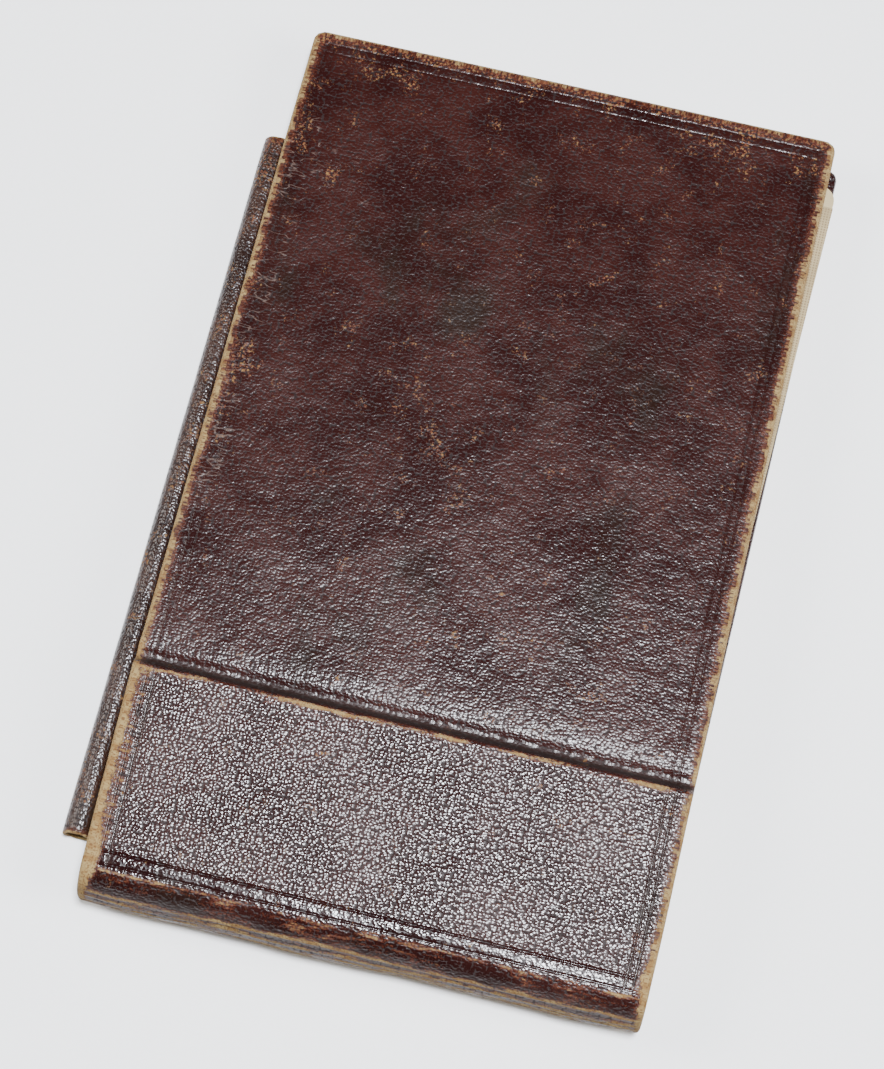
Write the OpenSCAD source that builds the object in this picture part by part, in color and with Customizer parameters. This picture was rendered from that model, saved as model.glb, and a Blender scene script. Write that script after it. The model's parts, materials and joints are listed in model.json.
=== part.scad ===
// Book-form leather pocket case, lying on its back cover.
// X runs across the case, +Y from the rounded spine to the free end, +Z up from the back cover.
// The origin is on the outer face of the back cover, half way along the case and in its middle.

/* [Case] */
// Width of the covers
case_w = 95; // [85:1:110]
// Distance from the origin to the outermost line of the rounded spine
spine_reach = 80.8; // [76:0.1:85]
// Distance from the origin to the free end of the front flap
flap_reach = 79.8; // [79:0.1:83]
// Distance from the origin to the free end of the back cover
back_reach = 77.5; // [76:0.5:80]
// Height of the lower panel where it meets the hinge groove, the highest part of the case
case_h = 16.5; // [16:0.1:18]
// Height of the lower panel where it meets the rounded spine
spine_h = 14.6; // [14.4:0.1:16]
// How far the free end of the back cover sits to the right of its spine end
back_drift = 1.6; // [0:0.1:2]
// Radius of the two rounded edges of the spine
spine_r = 6.8; // [5:0.1:7]
// Radius of the cover corners in plan
corner_r = 2; // [1.6:0.1:3]

/* [Cover build] */
// Thickness of the cover leather
leather_t = 0.9; // [0.7:0.05:1]
// Thickness of the stiff boards inside the covers
board_t = 1.5; // [1.2:0.1:1.6]
// Thickness of the pared leather that is turned in over the board edges
turn_in_t = 0.5; // [0.4:0.05:0.6]
// Width of the turned-in leather
turn_in_w = 10; // [8:0.5:12]
// Thickness of the paper linings
lining_t = 0.3; // [0.2:0.05:0.35]

/* [Flap hinge] */
// Distance from the origin back to the hinge line
hinge_back = 39.4; // [38:0.1:41]
// Height of the hinge line
hinge_z = 16.3; // [16.2:0.05:16.5]
// Half the width of the hinge groove
groove_half = 2.6; // [2.5:0.1:3]
// Height of the flap's outer face where it meets the groove
flap_root_z = 15.3; // [15.2:0.05:15.4]
// Angle by which the closed flap slopes down to its free end
flap_slope = 2.645; // [2.6:0.005:2.68]

/* [Leaves] */
// Number of sleeve leaves
leaf_n = 4; // [4:1:4]
// Width of a leaf
leaf_w = 90; // [84:1:90]
// Distance from the origin to the free end of the leaves
leaf_reach = 73.6; // [72:0.1:74]
// Thickness of each of a leaf's two cards
card_t = 0.25; // [0.2:0.01:0.27]
// Space between a leaf's two cards
sleeve_gap = 0.2; // [0.15:0.01:0.2]
// Thickness of the cloth edging round a leaf
edging_t = 0.1; // [0.08:0.01:0.1]
// Width of the cloth edging
edging_w = 5; // [3:0.5:7]
// Angle by which the leaves are bound out of square
leaf_skew = 1.6; // [0:0.1:1.8]
// Thickness of the linen strips that the leaves hang on
tongue_t = 0.3; // [0.2:0.05:0.3]
// Thickness of the card guards between the linen strips
guard_t = 1.8; // [1.6:0.05:1.85]
// Radius of the binding threads
thread_r = 0.45; // [0.3:0.05:0.6]
// Number of binding threads
thread_n = 5; // [3:1:7]

/* [Pencil loop] */
// Outer radius of the loop
loop_r = 2.55; // [2.3:0.05:2.6]
// Thickness of the loop's leather
loop_t = 0.6; // [0.5:0.05:0.8]
// Length of the loop
loop_l = 130; // [110:0.5:132]
// Gap between the loop and the edge of the back cover
loop_gap = 0.85; // [0.6:0.05:1.2]

/* [Hidden] */
$fn = 64;
// Covers
cover_t = leather_t + board_t + turn_in_t;
spine_y = -spine_reach + spine_r;
strip_slope = (case_h - spine_h) / (-hinge_back - groove_half - spine_y);
back_lean = back_drift / (back_reach - spine_y);
back_skew = atan(back_lean);
// Hinge and flap
hinge_y = -hinge_back;
strip_end = hinge_y - groove_half;
flap_root = hinge_y + groove_half;
flap_l = (flap_reach - flap_root) / cos(flap_slope);
trough_r = groove_half - 0.1;
trough_t = 0.8;
trough_top = hinge_z - 0.2;
cloth_t = 0.3;
cloth_gap = 0.02;
cloth_end = hinge_y + 2.3;
liner_t = 0.7;
end_inset = 2.5;
// Guards, counted up from the back lining
guard_n = leaf_n + 1;
guard_w = 86;
guard_x = 2;
guard_root = spine_y + 1.7;
guard_front = strip_end - 0.6;
block_z = cover_t;
strip_depth = leather_t + board_t;
thread_hole_r = thread_r + 0.05;
thread_pitch = 16;
thread_y = (guard_root + guard_front) / 2 - 4;
// Leaves, each turning about its own line just past the hinge groove
leaf_t = 2 * card_t + sleeve_gap + 2 * edging_t;
leaf_x = 1.4;
leaf_hinge_y = hinge_y + 3;
leaf_root = 1.6;
leaf_l = leaf_reach - leaf_hinge_y - leaf_root;
leaf_corner = 3;
notch_r = 9;
spacer_w = 3;
leaf_air = 0.15;
tongue_end = leaf_hinge_y - 0.8;
// Loop
loop_x = -case_w / 2 - loop_gap - loop_r;
loop_y = -70.3;
loop_z = leather_t + board_t + turn_in_t / 2;
tab_w = 9;
tab_gap = 0.3;
// Colours
cover_brown = [0.23, 0.10, 0.09];
loop_brown = [0.22, 0.12, 0.08];
board_grey = [0.55, 0.50, 0.42];
paper_cream = [0.80, 0.75, 0.62];
linen_cream = [0.72, 0.66, 0.52];
thread_white = [0.85, 0.82, 0.72];

// Points of an arc about centre c
function arc_points(c, r, from, to, n = 8) =
    [for (i = [0:n]) c + r * [cos(from + (to - from) * i / n), sin(from + (to - from) * i / n)]];

// Plan of a cover: square at the y0 end, with round corners at the y1 end.
// Its sides lean to the right by so much per unit of length, starting from the spine.
function cover_plan(w, y0, y1, r, lean = 0) =
    let (foot = lean * (y0 - spine_y), head = lean * (y1 - r - spine_y))
    concat(
        [[-w / 2 + foot, y0], [w / 2 + foot, y0]],
        arc_points([w / 2 - r + head, y1 - r], r, 0, 90),
        arc_points([-w / 2 + r + head, y1 - r], r, 90, 180)
    );

// Height of the point that lies a given depth below the lower panel's outer face
function under_strip(y, depth) = spine_h + (y - spine_y) * strip_slope - depth;

// Section of a layer under the lower panel's outer face, from depth d0 down to depth d1
function strip_layer(y0, y1, d0, d1) = [
    [y0, under_strip(y0, d1)], [y1, under_strip(y1, d1)],
    [y1, under_strip(y1, d0)], [y0, under_strip(y0, d0)]
];

// Height of the middle of the linen strip that carries leaf k
function tongue_z(k) = block_z + k * (guard_t + tongue_t) - tongue_t / 2;

// Height of the middle of leaf k at its free end, where the leaves lie close on each other
function leaf_end_z(k) = cover_t + leaf_air + leaf_t / 2 + (k - 1) * (leaf_t + leaf_air);

function leaf_slope(k) = atan((tongue_z(k) - leaf_end_z(k)) / (leaf_reach - leaf_hinge_y));

// A slab of a plan, from height z0 to height z1
module slab(plan, z0, z1) {
    translate([0, 0, z0]) linear_extrude(height = z1 - z0) polygon(plan);
}

// Extrudes a profile drawn in the Y-Z plane across the given width
module across(w) {
    translate([-w / 2, 0, 0]) rotate([90, 0, 90]) linear_extrude(height = w) children();
}

// Cover leather with its outer face at z = 0: sheet, edges, and the leather turned in over the board
module cover_leather(w, y0, y1, lean = 0) {
    difference() {
        slab(cover_plan(w, y0, y1, corner_r, lean), 0, cover_t);
        slab(cover_plan(w - 2 * leather_t, y0 - 1, y1 - leather_t, corner_r - leather_t, lean),
            leather_t, leather_t + board_t);
        slab(cover_plan(w - 2 * turn_in_w, y0 - 1, y1 - turn_in_w, 1, lean),
            leather_t + board_t - 0.1, cover_t + 1);
    }
}

module cover_board(w, y0, y1, lean = 0) {
    slab(cover_plan(w - 2 * leather_t, y0, y1 - leather_t, corner_r - leather_t, lean),
        leather_t, leather_t + board_t);
}

module cover_lining(w, y0, y1, lean = 0) {
    slab(cover_plan(w - 2 * turn_in_w, y0, y1 - turn_in_w, 1, lean),
        leather_t + board_t, leather_t + board_t + lining_t);
}

// Places a part drawn about the loop's lower end
module at_loop() {
    translate([loop_x, loop_y, loop_z]) rotate([0, 0, -back_skew]) children();
}

module back_leather() {
    color(cover_brown) difference() {
        cover_leather(case_w, spine_y, back_reach, back_lean);
        at_loop() translate([0, -tab_gap, -turn_in_t / 2])
            cube([loop_r + loop_gap + turn_in_w, loop_l + 2 * tab_gap, cover_t]);
    }
}

module back_board() {
    color(board_grey) cover_board(case_w, spine_y, back_reach, back_lean);
}

module back_lining() {
    color(paper_cream) cover_lining(case_w, spine_y, back_reach, back_lean);
}

// Section of the spine shrunk by t on all sides
module spine_section(t) {
    difference() {
        union() {
            translate([spine_y, spine_r]) circle(spine_r - t);
            translate([spine_y, spine_h - spine_r]) circle(spine_r - t);
            translate([-spine_reach + t, spine_r])
                square([2 * (spine_r - t), spine_h - 2 * spine_r]);
        }
        translate([spine_y, -1]) square([2 * spine_r, case_h + 2]);
    }
}

module spine_leather() {
    color(cover_brown) across(case_w) difference() {
        spine_section(0);
        spine_section(leather_t);
    }
}

module spine_liner() {
    color(board_grey) across(case_w - 2 * end_inset) difference() {
        spine_section(leather_t);
        spine_section(leather_t + liner_t);
    }
}

// Leather of the lower panel, with its edges turned down at both sides of the board
module strip_leather() {
    color(cover_brown) difference() {
        across(case_w) polygon(strip_layer(spine_y, strip_end, 0, strip_depth));
        across(case_w - 2 * leather_t)
            polygon(strip_layer(spine_y - 1, strip_end + 1, leather_t, strip_depth + 1));
    }
}

module strip_board() {
    color(board_grey) across(case_w - 2 * leather_t)
        polygon(strip_layer(spine_y, strip_end, leather_t, strip_depth));
}

// The leather that dips between the lower panel and the flap, rounded about the hinge line
module hinge_leather() {
    color(cover_brown) across(case_w) difference() {
        translate([hinge_y, hinge_z]) circle(trough_r);
        translate([hinge_y, hinge_z]) circle(trough_r - trough_t);
        translate([hinge_y - trough_r, trough_top]) square([2 * trough_r, 2 * trough_r]);
        translate([hinge_y, flap_root_z]) square(trough_r);
    }
}

// Cloth joint glued under the lower panel, stepping down below the hinge leather
module hinge_cloth() {
    groove_floor = hinge_z - trough_r - cloth_gap;
    color(linen_cream) across(case_w - 2 * end_inset) union() {
        polygon(strip_layer(guard_root, guard_front, strip_depth, strip_depth + cloth_t));
        polygon([
            [guard_front, under_strip(guard_front, strip_depth + cloth_t)],
            [strip_end - 0.4, groove_floor - cloth_t], [cloth_end, groove_floor - cloth_t],
            [cloth_end, groove_floor], [strip_end, groove_floor],
            [guard_front, under_strip(guard_front, strip_depth)]
        ]);
    }
}

module pencil_loop() {
    color(loop_brown) at_loop() union() {
        rotate([-90, 0, 0]) difference() {
            cylinder(h = loop_l, r = loop_r);
            translate([0, 0, -1]) cylinder(h = loop_l + 2, r = loop_r - loop_t);
        }
        translate([loop_r - loop_t / 2, 0, -turn_in_t / 2])
            cube([loop_gap + tab_w, loop_l, turn_in_t]);
    }
}

// Places one child on each binding thread's line
module at_threads(z) {
    for (i = [0:thread_n - 1])
        translate([guard_x + (i - (thread_n - 1) / 2) * thread_pitch, thread_y, z]) children();
}

// Holes for the binding threads, cut through a guard or a linen strip
module thread_holes() {
    at_threads(0) cylinder(h = case_h, r = thread_hole_r);
}

// Card guard g, counted from 1 at the back lining; the last one tapers to fit the lower panel
module guard(g) {
    z0 = block_z + (g - 1) * (guard_t + tongue_t);
    top = strip_depth + cloth_t;
    section = [
        [guard_root, z0], [guard_front, z0],
        [guard_front, g == guard_n ? under_strip(guard_front, top) : z0 + guard_t],
        [guard_root, g == guard_n ? under_strip(guard_root, top) : z0 + guard_t]
    ];
    color(paper_cream) difference() {
        translate([guard_x, 0, 0]) across(guard_w) polygon(section);
        thread_holes();
    }
}

module tongue(k) {
    color(linen_cream) difference() {
        translate([guard_x - guard_w / 2, guard_root, tongue_z(k) - tongue_t / 2])
            cube([guard_w, tongue_end - guard_root, tongue_t]);
        thread_holes();
    }
}

module binding_threads() {
    thread_top = under_strip(thread_y - thread_r, strip_depth + cloth_t);
    color(thread_white) at_threads(block_z) cylinder(h = thread_top - block_z, r = thread_r);
}

// Places a flap part whose outer face was drawn at z = 0, facing down, with the hinge end at y = 0
module at_flap() {
    translate([0, flap_root, flap_root_z]) rotate([-flap_slope, 0, 0]) mirror([0, 0, 1]) children();
}

module flap_leather() {
    color(cover_brown) at_flap() cover_leather(case_w, 0, flap_l);
}

module flap_board() {
    color(board_grey) at_flap() cover_board(case_w, 0, flap_l);
}

module flap_lining() {
    color(paper_cream) at_flap() cover_lining(case_w, 0, flap_l);
}

// Places a part of leaf k drawn flat about its own turning line, with the leaf's middle at z = 0
module at_leaf(k) {
    translate([leaf_x, leaf_hinge_y, tongue_z(k)]) rotate([-leaf_slope(k), 0, 0])
        rotate([0, 0, -leaf_skew]) translate([0, leaf_root, 0]) children();
}

function leaf_plan(inset) =
    cover_plan(leaf_w - 2 * inset, inset, leaf_l - inset, leaf_corner - inset);

// One card of a leaf, with its middle at height z
module leaf_card(z) {
    slab(leaf_plan(edging_t), z - card_t / 2, z + card_t / 2);
}

module leaf_back(k) {
    color(paper_cream) at_leaf(k) leaf_card(-(sleeve_gap + card_t) / 2);
}

// The upper card, with a thumb notch at the mouth of the sleeve
module leaf_front(k) {
    color(paper_cream) at_leaf(k) difference() {
        leaf_card((sleeve_gap + card_t) / 2);
        translate([0, leaf_l, 0]) cylinder(h = leaf_t, r = notch_r);
    }
}

// The U-shaped strip that holds the two cards apart at the root and both sides
module leaf_spacer(k) {
    color(paper_cream) at_leaf(k) difference() {
        slab(leaf_plan(edging_t), -sleeve_gap / 2, sleeve_gap / 2);
        translate([-leaf_w / 2 + spacer_w, edging_t + spacer_w, -1])
            cube([leaf_w - 2 * spacer_w, leaf_l, 2]);
    }
}

// Cloth edging folded over the root and both sides; the mouth end stays open
module leaf_edging(k) {
    color(linen_cream) at_leaf(k) difference() {
        slab(leaf_plan(0), -leaf_t / 2, leaf_t / 2);
        slab(leaf_plan(edging_t), -leaf_t / 2 + edging_t, leaf_t / 2 - edging_t);
        translate([-leaf_w / 2 + edging_w, edging_w, -1]) cube([leaf_w - 2 * edging_w, leaf_l, 2]);
        translate([-leaf_w, leaf_l - leaf_corner - 1, -1]) cube([2 * leaf_w, leaf_l, 2]);
    }
}

back_leather();
back_board();
back_lining();
spine_leather();
spine_liner();
strip_leather();
strip_board();
hinge_leather();
hinge_cloth();
pencil_loop();
binding_threads();
flap_leather();
flap_board();
flap_lining();
for (g = [1:guard_n]) guard(g);
for (k = [1:leaf_n]) {
    tongue(k);
    leaf_back(k);
    leaf_spacer(k);
    leaf_front(k);
    leaf_edging(k);
}
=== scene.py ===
import json
import math

import bmesh
import bpy
import numpy as np
from mathutils import Matrix, Vector, noise


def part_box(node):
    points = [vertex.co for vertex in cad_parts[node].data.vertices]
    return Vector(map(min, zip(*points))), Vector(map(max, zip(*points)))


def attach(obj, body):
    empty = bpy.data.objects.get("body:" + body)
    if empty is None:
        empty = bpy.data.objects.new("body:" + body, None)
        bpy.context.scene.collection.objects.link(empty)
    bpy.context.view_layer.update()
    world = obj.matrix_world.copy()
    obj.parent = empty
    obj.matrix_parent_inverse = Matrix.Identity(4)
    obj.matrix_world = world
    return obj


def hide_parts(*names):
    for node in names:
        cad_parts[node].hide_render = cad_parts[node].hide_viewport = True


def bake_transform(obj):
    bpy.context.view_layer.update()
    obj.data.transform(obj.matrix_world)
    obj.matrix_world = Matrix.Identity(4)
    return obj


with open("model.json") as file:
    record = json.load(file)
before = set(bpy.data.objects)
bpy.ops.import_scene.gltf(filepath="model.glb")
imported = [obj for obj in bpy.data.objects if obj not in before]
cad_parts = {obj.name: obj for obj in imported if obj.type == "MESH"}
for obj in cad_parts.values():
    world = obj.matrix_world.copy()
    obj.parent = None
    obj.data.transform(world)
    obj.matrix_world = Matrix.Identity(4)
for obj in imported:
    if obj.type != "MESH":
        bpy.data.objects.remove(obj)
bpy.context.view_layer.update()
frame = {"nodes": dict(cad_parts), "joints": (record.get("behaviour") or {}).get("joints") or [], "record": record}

# Everything below is measured in millimetres and turned into metres when a mesh is made.
# X runs across the case, +Y from the spine to the free end, +Z up.


def mm_box(node):
    lo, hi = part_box(node)
    return np.array(lo) * 1000, np.array(hi) * 1000


def named(items, name):
    return next(item for item in items if item["name"] == name)


def joint(name):
    return np.array(named(frame["joints"], name)["pos_m"]) * 1000


def mount(name):
    found = named(frame["record"]["mounts"], name)
    return np.array(found["pos_m"]) * 1000, np.array(found["axis"]), found["dims"]


STRIP_LO, STRIP_HI = mm_box("strip_leather")
SPINE_LO, SPINE_HI = mm_box("spine_leather")
FLAP_LO, FLAP_HI = mm_box("flap_leather")
BACK_HI = mm_box("back_leather")[1]
HINGE = joint("flap_hinge")

HALF_W = STRIP_HI[0]
COVER_T = BACK_HI[2]
STRIP_T = STRIP_HI[2] - mm_box("strip_board")[1][2] + 1.5
SPINE_Y = STRIP_LO[1]
SPINE_R = SPINE_Y - SPINE_LO[1]
SPINE_TOP = SPINE_HI[2]
CREST_Y, CREST_Z = STRIP_HI[1], STRIP_HI[2]
FLAP_ROOT_Y = 2 * HINGE[1] - CREST_Y
FLAP_ROOT_Z = FLAP_HI[2]
FLAP_END_Y = FLAP_HI[1]
FLAP_FALL = (FLAP_ROOT_Z - FLAP_LO[2] - COVER_T) / (FLAP_END_Y - FLAP_ROOT_Y)
STRIP_RISE = (CREST_Z - SPINE_TOP) / (CREST_Y - SPINE_Y)
BACK_LEAN = (BACK_HI[0] - HALF_W) / (BACK_HI[1] - 2 - SPINE_Y)

CORNER_R = 2.0
EDGE_ROLL = 1.15
TURN_IN = 10.0
# Distances of the two tooled lines from the cover's edge: at the sides, the free end and the spine
TOOL_SIDE = (2.8, 4.2)
TOOL_END = (2.6, 4.3)
TOOL_SPINE = (0.7, -1.4)
# How far from the middle the even columns of the skins' grids reach
GRID_REACH = 45.2


# ---------- shapes


def smooth(t):
    t = np.clip(t, 0, 1)
    return t * t * (3 - 2 * t)


def bell(d, width):
    return np.exp(-((d / width) ** 2))


def wave(x, y, size, seed):
    """A smooth random height from -1 to 1, with lumps of about the given size."""
    x, y = np.broadcast_arrays(np.asarray(x, float), np.asarray(y, float))
    flat = [noise.noise(Vector((a / size, b / size, seed))) for a, b in zip(x.ravel(), y.ravel())]
    return np.array(flat).reshape(x.shape)


def new_object(name, data):
    made = bpy.data.objects.new(name, data)
    bpy.context.scene.collection.objects.link(made)
    return made


def make_mesh(name, points, faces, material, **attributes):
    """A smooth-shaded object from points in millimetres. Each attribute is one value per point."""
    mesh = bpy.data.meshes.new(name)
    mesh.from_pydata((np.asarray(points) / 1000).tolist(), [], faces)
    for key, values in attributes.items():
        values = np.asarray(values, np.float32)
        kind, field = ("FLOAT_VECTOR", "vector") if values.ndim == 2 else ("FLOAT", "value")
        mesh.attributes.new(key, kind, "POINT").data.foreach_set(field, values.ravel())
    turned = bmesh.new()
    turned.from_mesh(mesh)
    bmesh.ops.remove_doubles(turned, verts=turned.verts, dist=1e-6)
    bmesh.ops.recalc_face_normals(turned, faces=turned.faces)
    turned.to_mesh(mesh)
    turned.free()
    mesh.shade_smooth()
    mesh.materials.append(material)
    return new_object(name, mesh)


def grid_faces(rows, columns, first=0, closed=False):
    """Quads between the points of a grid that is stored row by row."""
    faces = []
    for i in range(rows - 1):
        for j in range(columns if closed else columns - 1):
            a = first + i * columns + j
            b = first + i * columns + (j + 1) % columns
            faces.append((a, b, b + columns, a + columns))
    return faces


def outline(rows, columns):
    """A grid's points up its left side, along its last row and down its right side."""
    up = [i * columns for i in range(rows)]
    along = [(rows - 1) * columns + j for j in range(1, columns)]
    down = [i * columns + columns - 1 for i in range(rows - 2, -1, -1)]
    return up + along + down


class Profile:
    """A line in the Y-Z plane that a skin follows, measured by the length along it."""

    def __init__(self, points, side=1):
        self.points = np.array(points, float)
        steps = np.linalg.norm(np.diff(self.points, axis=0), axis=1)
        self.length = np.r_[0, np.cumsum(steps)]
        along = np.gradient(self.points, self.length, axis=0)
        self.along = along / np.linalg.norm(along, axis=1)[:, None]
        self.normal = side * np.c_[-self.along[:, 1], self.along[:, 0]]

    def at_y(self, y):
        """Length along the upper run at which the line passes over y."""
        turn = int(np.argmin(self.points[:, 0]))
        return float(np.interp(y, self.points[turn:, 0], self.length[turn:]))

    def place(self, x, s, depth):
        """The point x across and s along the skin, so deep under its outer face."""
        inside = np.clip(s, 0, self.length[-1])

        def read(table):
            return np.stack([np.interp(inside, self.length, table[:, k]) for k in (0, 1)], -1)

        normal = read(self.normal)
        normal /= np.linalg.norm(normal, axis=-1)[..., None]
        yz = read(self.points) + (s - inside)[..., None] * read(self.along) - normal * depth[..., None]
        return np.concatenate([x[..., None], yz], -1)


def top_height(y):
    """Height of the front over y: the strip, the step and groove at the hinge, then the flap."""
    strip = SPINE_TOP + (y - SPINE_Y) * STRIP_RISE
    dip = 0.85 * bell(y - (HINGE[1] - 0.7), 1.25) + 0.12 * bell(y - (HINGE[1] + 1.6), 1.6)
    flap = FLAP_ROOT_Z - (y - FLAP_ROOT_Y) * FLAP_FALL - dip
    over = smooth((y - (CREST_Y - 0.2)) / 1.5)
    return strip * (1 - over) + flap * over


def front_profile():
    arc = np.radians(np.linspace(0, 90, 19))
    points = [(SPINE_Y + 1.5, 0.04)]
    points += [(SPINE_Y - SPINE_R * math.sin(a), SPINE_R - SPINE_R * math.cos(a)) for a in arc]
    top = SPINE_TOP - SPINE_R
    points += [(SPINE_Y - SPINE_R * math.cos(a), top + SPINE_R * math.sin(a)) for a in arc]
    points += [(y, top_height(y)) for y in np.arange(SPINE_Y + 0.25, FLAP_END_Y, 0.25)]
    return Profile(points)


def near_lines(lines, spacing=(0.0, 0.1, 0.2, 0.36)):
    """Grid positions close round each tooled line, so that the groove has a shape."""
    return [line + sign * d for line in lines for d in spacing for sign in (-1, 1)]


def spread(start, end, step, extra=()):
    """Sorted grid positions from start to end, with the extra ones let in and none crowded."""
    base = np.linspace(start, end, max(2, int(round(abs(end - start) / step)) + 1))
    extra = [e for e in extra if start < e < end]
    base = [b for b in base if all(abs(b - e) > 0.3 for e in extra) or b in (start, end)]
    return np.array(sorted(set(np.round(list(base) + list(extra), 4))))


# Thickness of the leather over a board and where it is turned in, and how far in the board starts
SKIN_T = 0.86
TURNED_T = 0.45
BOARD_INSET = 1.25


class Skin:
    """Leather drawn over a cover: an outer face, rolled edges and the leather turned in behind.

    roll, depth and turn give the edge's radius, its thickness and the width turned in, for each
    length s along the profile. relief is the height of the outer face. s_end is where the free end
    is. The result is points, faces and three values for each point: flat is its place on the flat
    hide, edge its distance from the cover's edge, and under is 1 where it is turned in.
    """

    def __init__(self, profile, s_end, rows, columns, roll, depth, turn, relief):
        self.profile, self.s_end = profile, s_end
        self.roll, self.depth, self.turn = roll, depth, turn
        self.x_in, self.s_in = HALF_W - roll(rows), rows[-1]
        self.corner = CORNER_R - float(roll(rows[-1]))
        x, s = self.outer_grid(rows, columns)
        self.shape = x.shape
        lift = relief(x, s)
        to_edge = np.minimum(self.x_in[:, None] - abs(x), self.s_in - s)
        self.layers = [(
            profile.place(x, s, -lift).reshape(-1, 3), np.stack([x, s, 0 * x], -1).reshape(-1, 3),
            (to_edge + roll(s) * math.pi / 4).ravel(), np.zeros(x.size),
        )]
        self.faces = grid_faces(*x.shape)
        last, ends = self.add_rings(x, s, lift)
        self.close(last, ends)
        points, flat, edge, under = zip(*self.layers)
        self.points, self.flat = np.vstack(points), np.vstack(flat)
        self.edge, self.under = np.concatenate(edge), np.concatenate(under)

    def outer_grid(self, rows, columns):
        """The outer face's grid, with two more columns on each side to reach its edge."""
        reach = max(columns)
        outer = np.array([0.5, 1.0])
        left = -(reach + (self.x_in[:, None] - reach) * outer[::-1])
        right = reach + (self.x_in[:, None] - reach) * outer
        x = np.hstack([left, np.tile(columns, (len(rows), 1)), right])
        s = np.tile(rows[:, None], (1, x.shape[1])).astype(float)
        return self.round_corners(x, s)

    def round_corners(self, x, s):
        """Draws the square corners of the grid in to the round corners of the cover."""
        x_in, s_in, radius = self.x_in[-1], self.s_in, self.corner
        a = np.clip((abs(x) - (x_in - radius)) / radius, 0, 1)
        b = np.clip((s - (s_in - radius)) / radius, 0, 1)
        both = (a > 0) & (b > 0)
        new_x = np.sign(x) * (x_in - radius + radius * a * np.sqrt(1 - b * b / 2))
        new_s = s_in - radius + radius * b * np.sqrt(1 - a * a / 2)
        return np.where(both, new_x, x), np.where(both, new_s, s)

    def boundary(self):
        """The grid's outline: up the left side, along the free end and down the right side."""
        return np.array(outline(*self.shape))

    def outward(self, x, s):
        """Direction in the plane of the skin that each boundary point's edge faces."""
        n, m = self.shape
        x_in, s_in, radius = self.x_in[-1], self.s_in, self.corner
        out = np.zeros((len(x), 2))
        out[:n, 0], out[n + m - 1:, 0] = -1, 1
        out[n:n + m - 2, 1] = 1
        out[n + m - 2] = (1, 0)
        corner = (abs(x) > x_in - radius - 1e-6) & (s > s_in - radius - 1e-6)
        centre = np.c_[np.sign(x) * (x_in - radius), np.full(len(x), s_in - radius)]
        radial = np.c_[x, s] - centre
        size = np.linalg.norm(radial, axis=1)
        good = corner & (size > 1e-6)
        out[good] = radial[good] / size[good, None]
        return out

    @staticmethod
    def ring_steps():
        """The rings from the outer face's edge round to the board's top, and how far along each."""
        quarter = math.pi / 2
        steps = [("roll", quarter * k / 5) for k in range(1, 6)]
        steps += [("side", 0.5), ("side", 1.0)]
        steps += [("under", quarter * k / 3) for k in range(1, 4)]
        steps += [("turn", k) for k in (0.05, 0.25, 0.5, 0.75, 1.0)]
        return steps + [("lip", 1.0), ("board_edge", 1.0), ("board_top", 1.0)]

    @staticmethod
    def ring_place(kind, value, r, h, width):
        """How far outside the outer face's edge a ring lies, and how deep."""
        low = np.minimum(0.75, 0.6 * (h - r))
        if kind == "roll":
            return r * math.sin(value), r * (1 - math.cos(value))
        if kind == "side":
            return r, r + (h - low - r) * value
        if kind == "under":
            return r - low * (1 - math.cos(value)), h - low * (1 - math.sin(value))
        if kind == "turn":
            return r - low - (width - low) * value, h
        if kind == "lip":
            return r - width, h - TURNED_T
        if kind == "board_edge":
            return r - BOARD_INSET, h - TURNED_T
        return r - BOARD_INSET, np.minimum(SKIN_T, h - 0.5)

    def add_rings(self, x, s, lift):
        """Rolls the edge round and turns it in. Returns the last ring and the two ends of each."""
        last = self.boundary()
        bx, bs, bl = x.ravel()[last], s.ravel()[last], lift.ravel()[last]
        out = self.outward(bx, bs)
        r, h, width = self.roll(bs), self.depth(bs), self.turn(bs)
        first, travel, before, ends = x.size, 0 * r, None, []
        for kind, value in self.ring_steps():
            a, b = self.ring_place(kind, value, r, h, width)
            px = np.clip(bx + out[:, 0] * a, r - a - HALF_W, HALF_W - (r - a))
            ps = np.minimum(bs + out[:, 1] * a, self.s_end - (r - a))
            if kind == "roll":
                b = b - bl * max(0.0, 1 - value / (math.pi / 2))
            if kind in ("roll", "side", "turn"):
                b = b + 0.05 * wave(px, ps, 1.7, len(self.layers))
            ring = self.profile.place(px, ps, b)
            if before is not None:
                travel = travel + np.linalg.norm(ring - before, axis=1)
            before = ring
            hide = np.c_[bx + out[:, 0] * travel, bs + out[:, 1] * travel, 0 * bx]
            under = np.full(len(bx), 0.0 if kind in ("roll", "side") else 1.0)
            self.layers.append((ring, hide, abs(travel - r * math.pi / 4), under))
            here = first + np.arange(len(bx))
            first += len(bx)
            self.faces += list(zip(last[:-1], last[1:], here[1:], here[:-1]))
            last = here
            ends.append((here[0], here[-1]))
        return last, ends

    def close(self, last, ends):
        """Closes the leather over the boards, at the free end and across the spine end."""
        n, m = self.shape
        far_side = last[::-1]
        self.faces += [(last[i], far_side[i], far_side[i + 1], last[i + 1]) for i in range(n - 1)]
        self.faces.append(last[n - 1:n + m - 1])
        right, left = [e[1] for e in ends], [e[0] for e in ends[::-1]]
        self.faces.append(list(range(m)) + right + left)
        self.faces = [tuple(int(i) for i in face) for face in self.faces]


# ---------- materials


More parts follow.
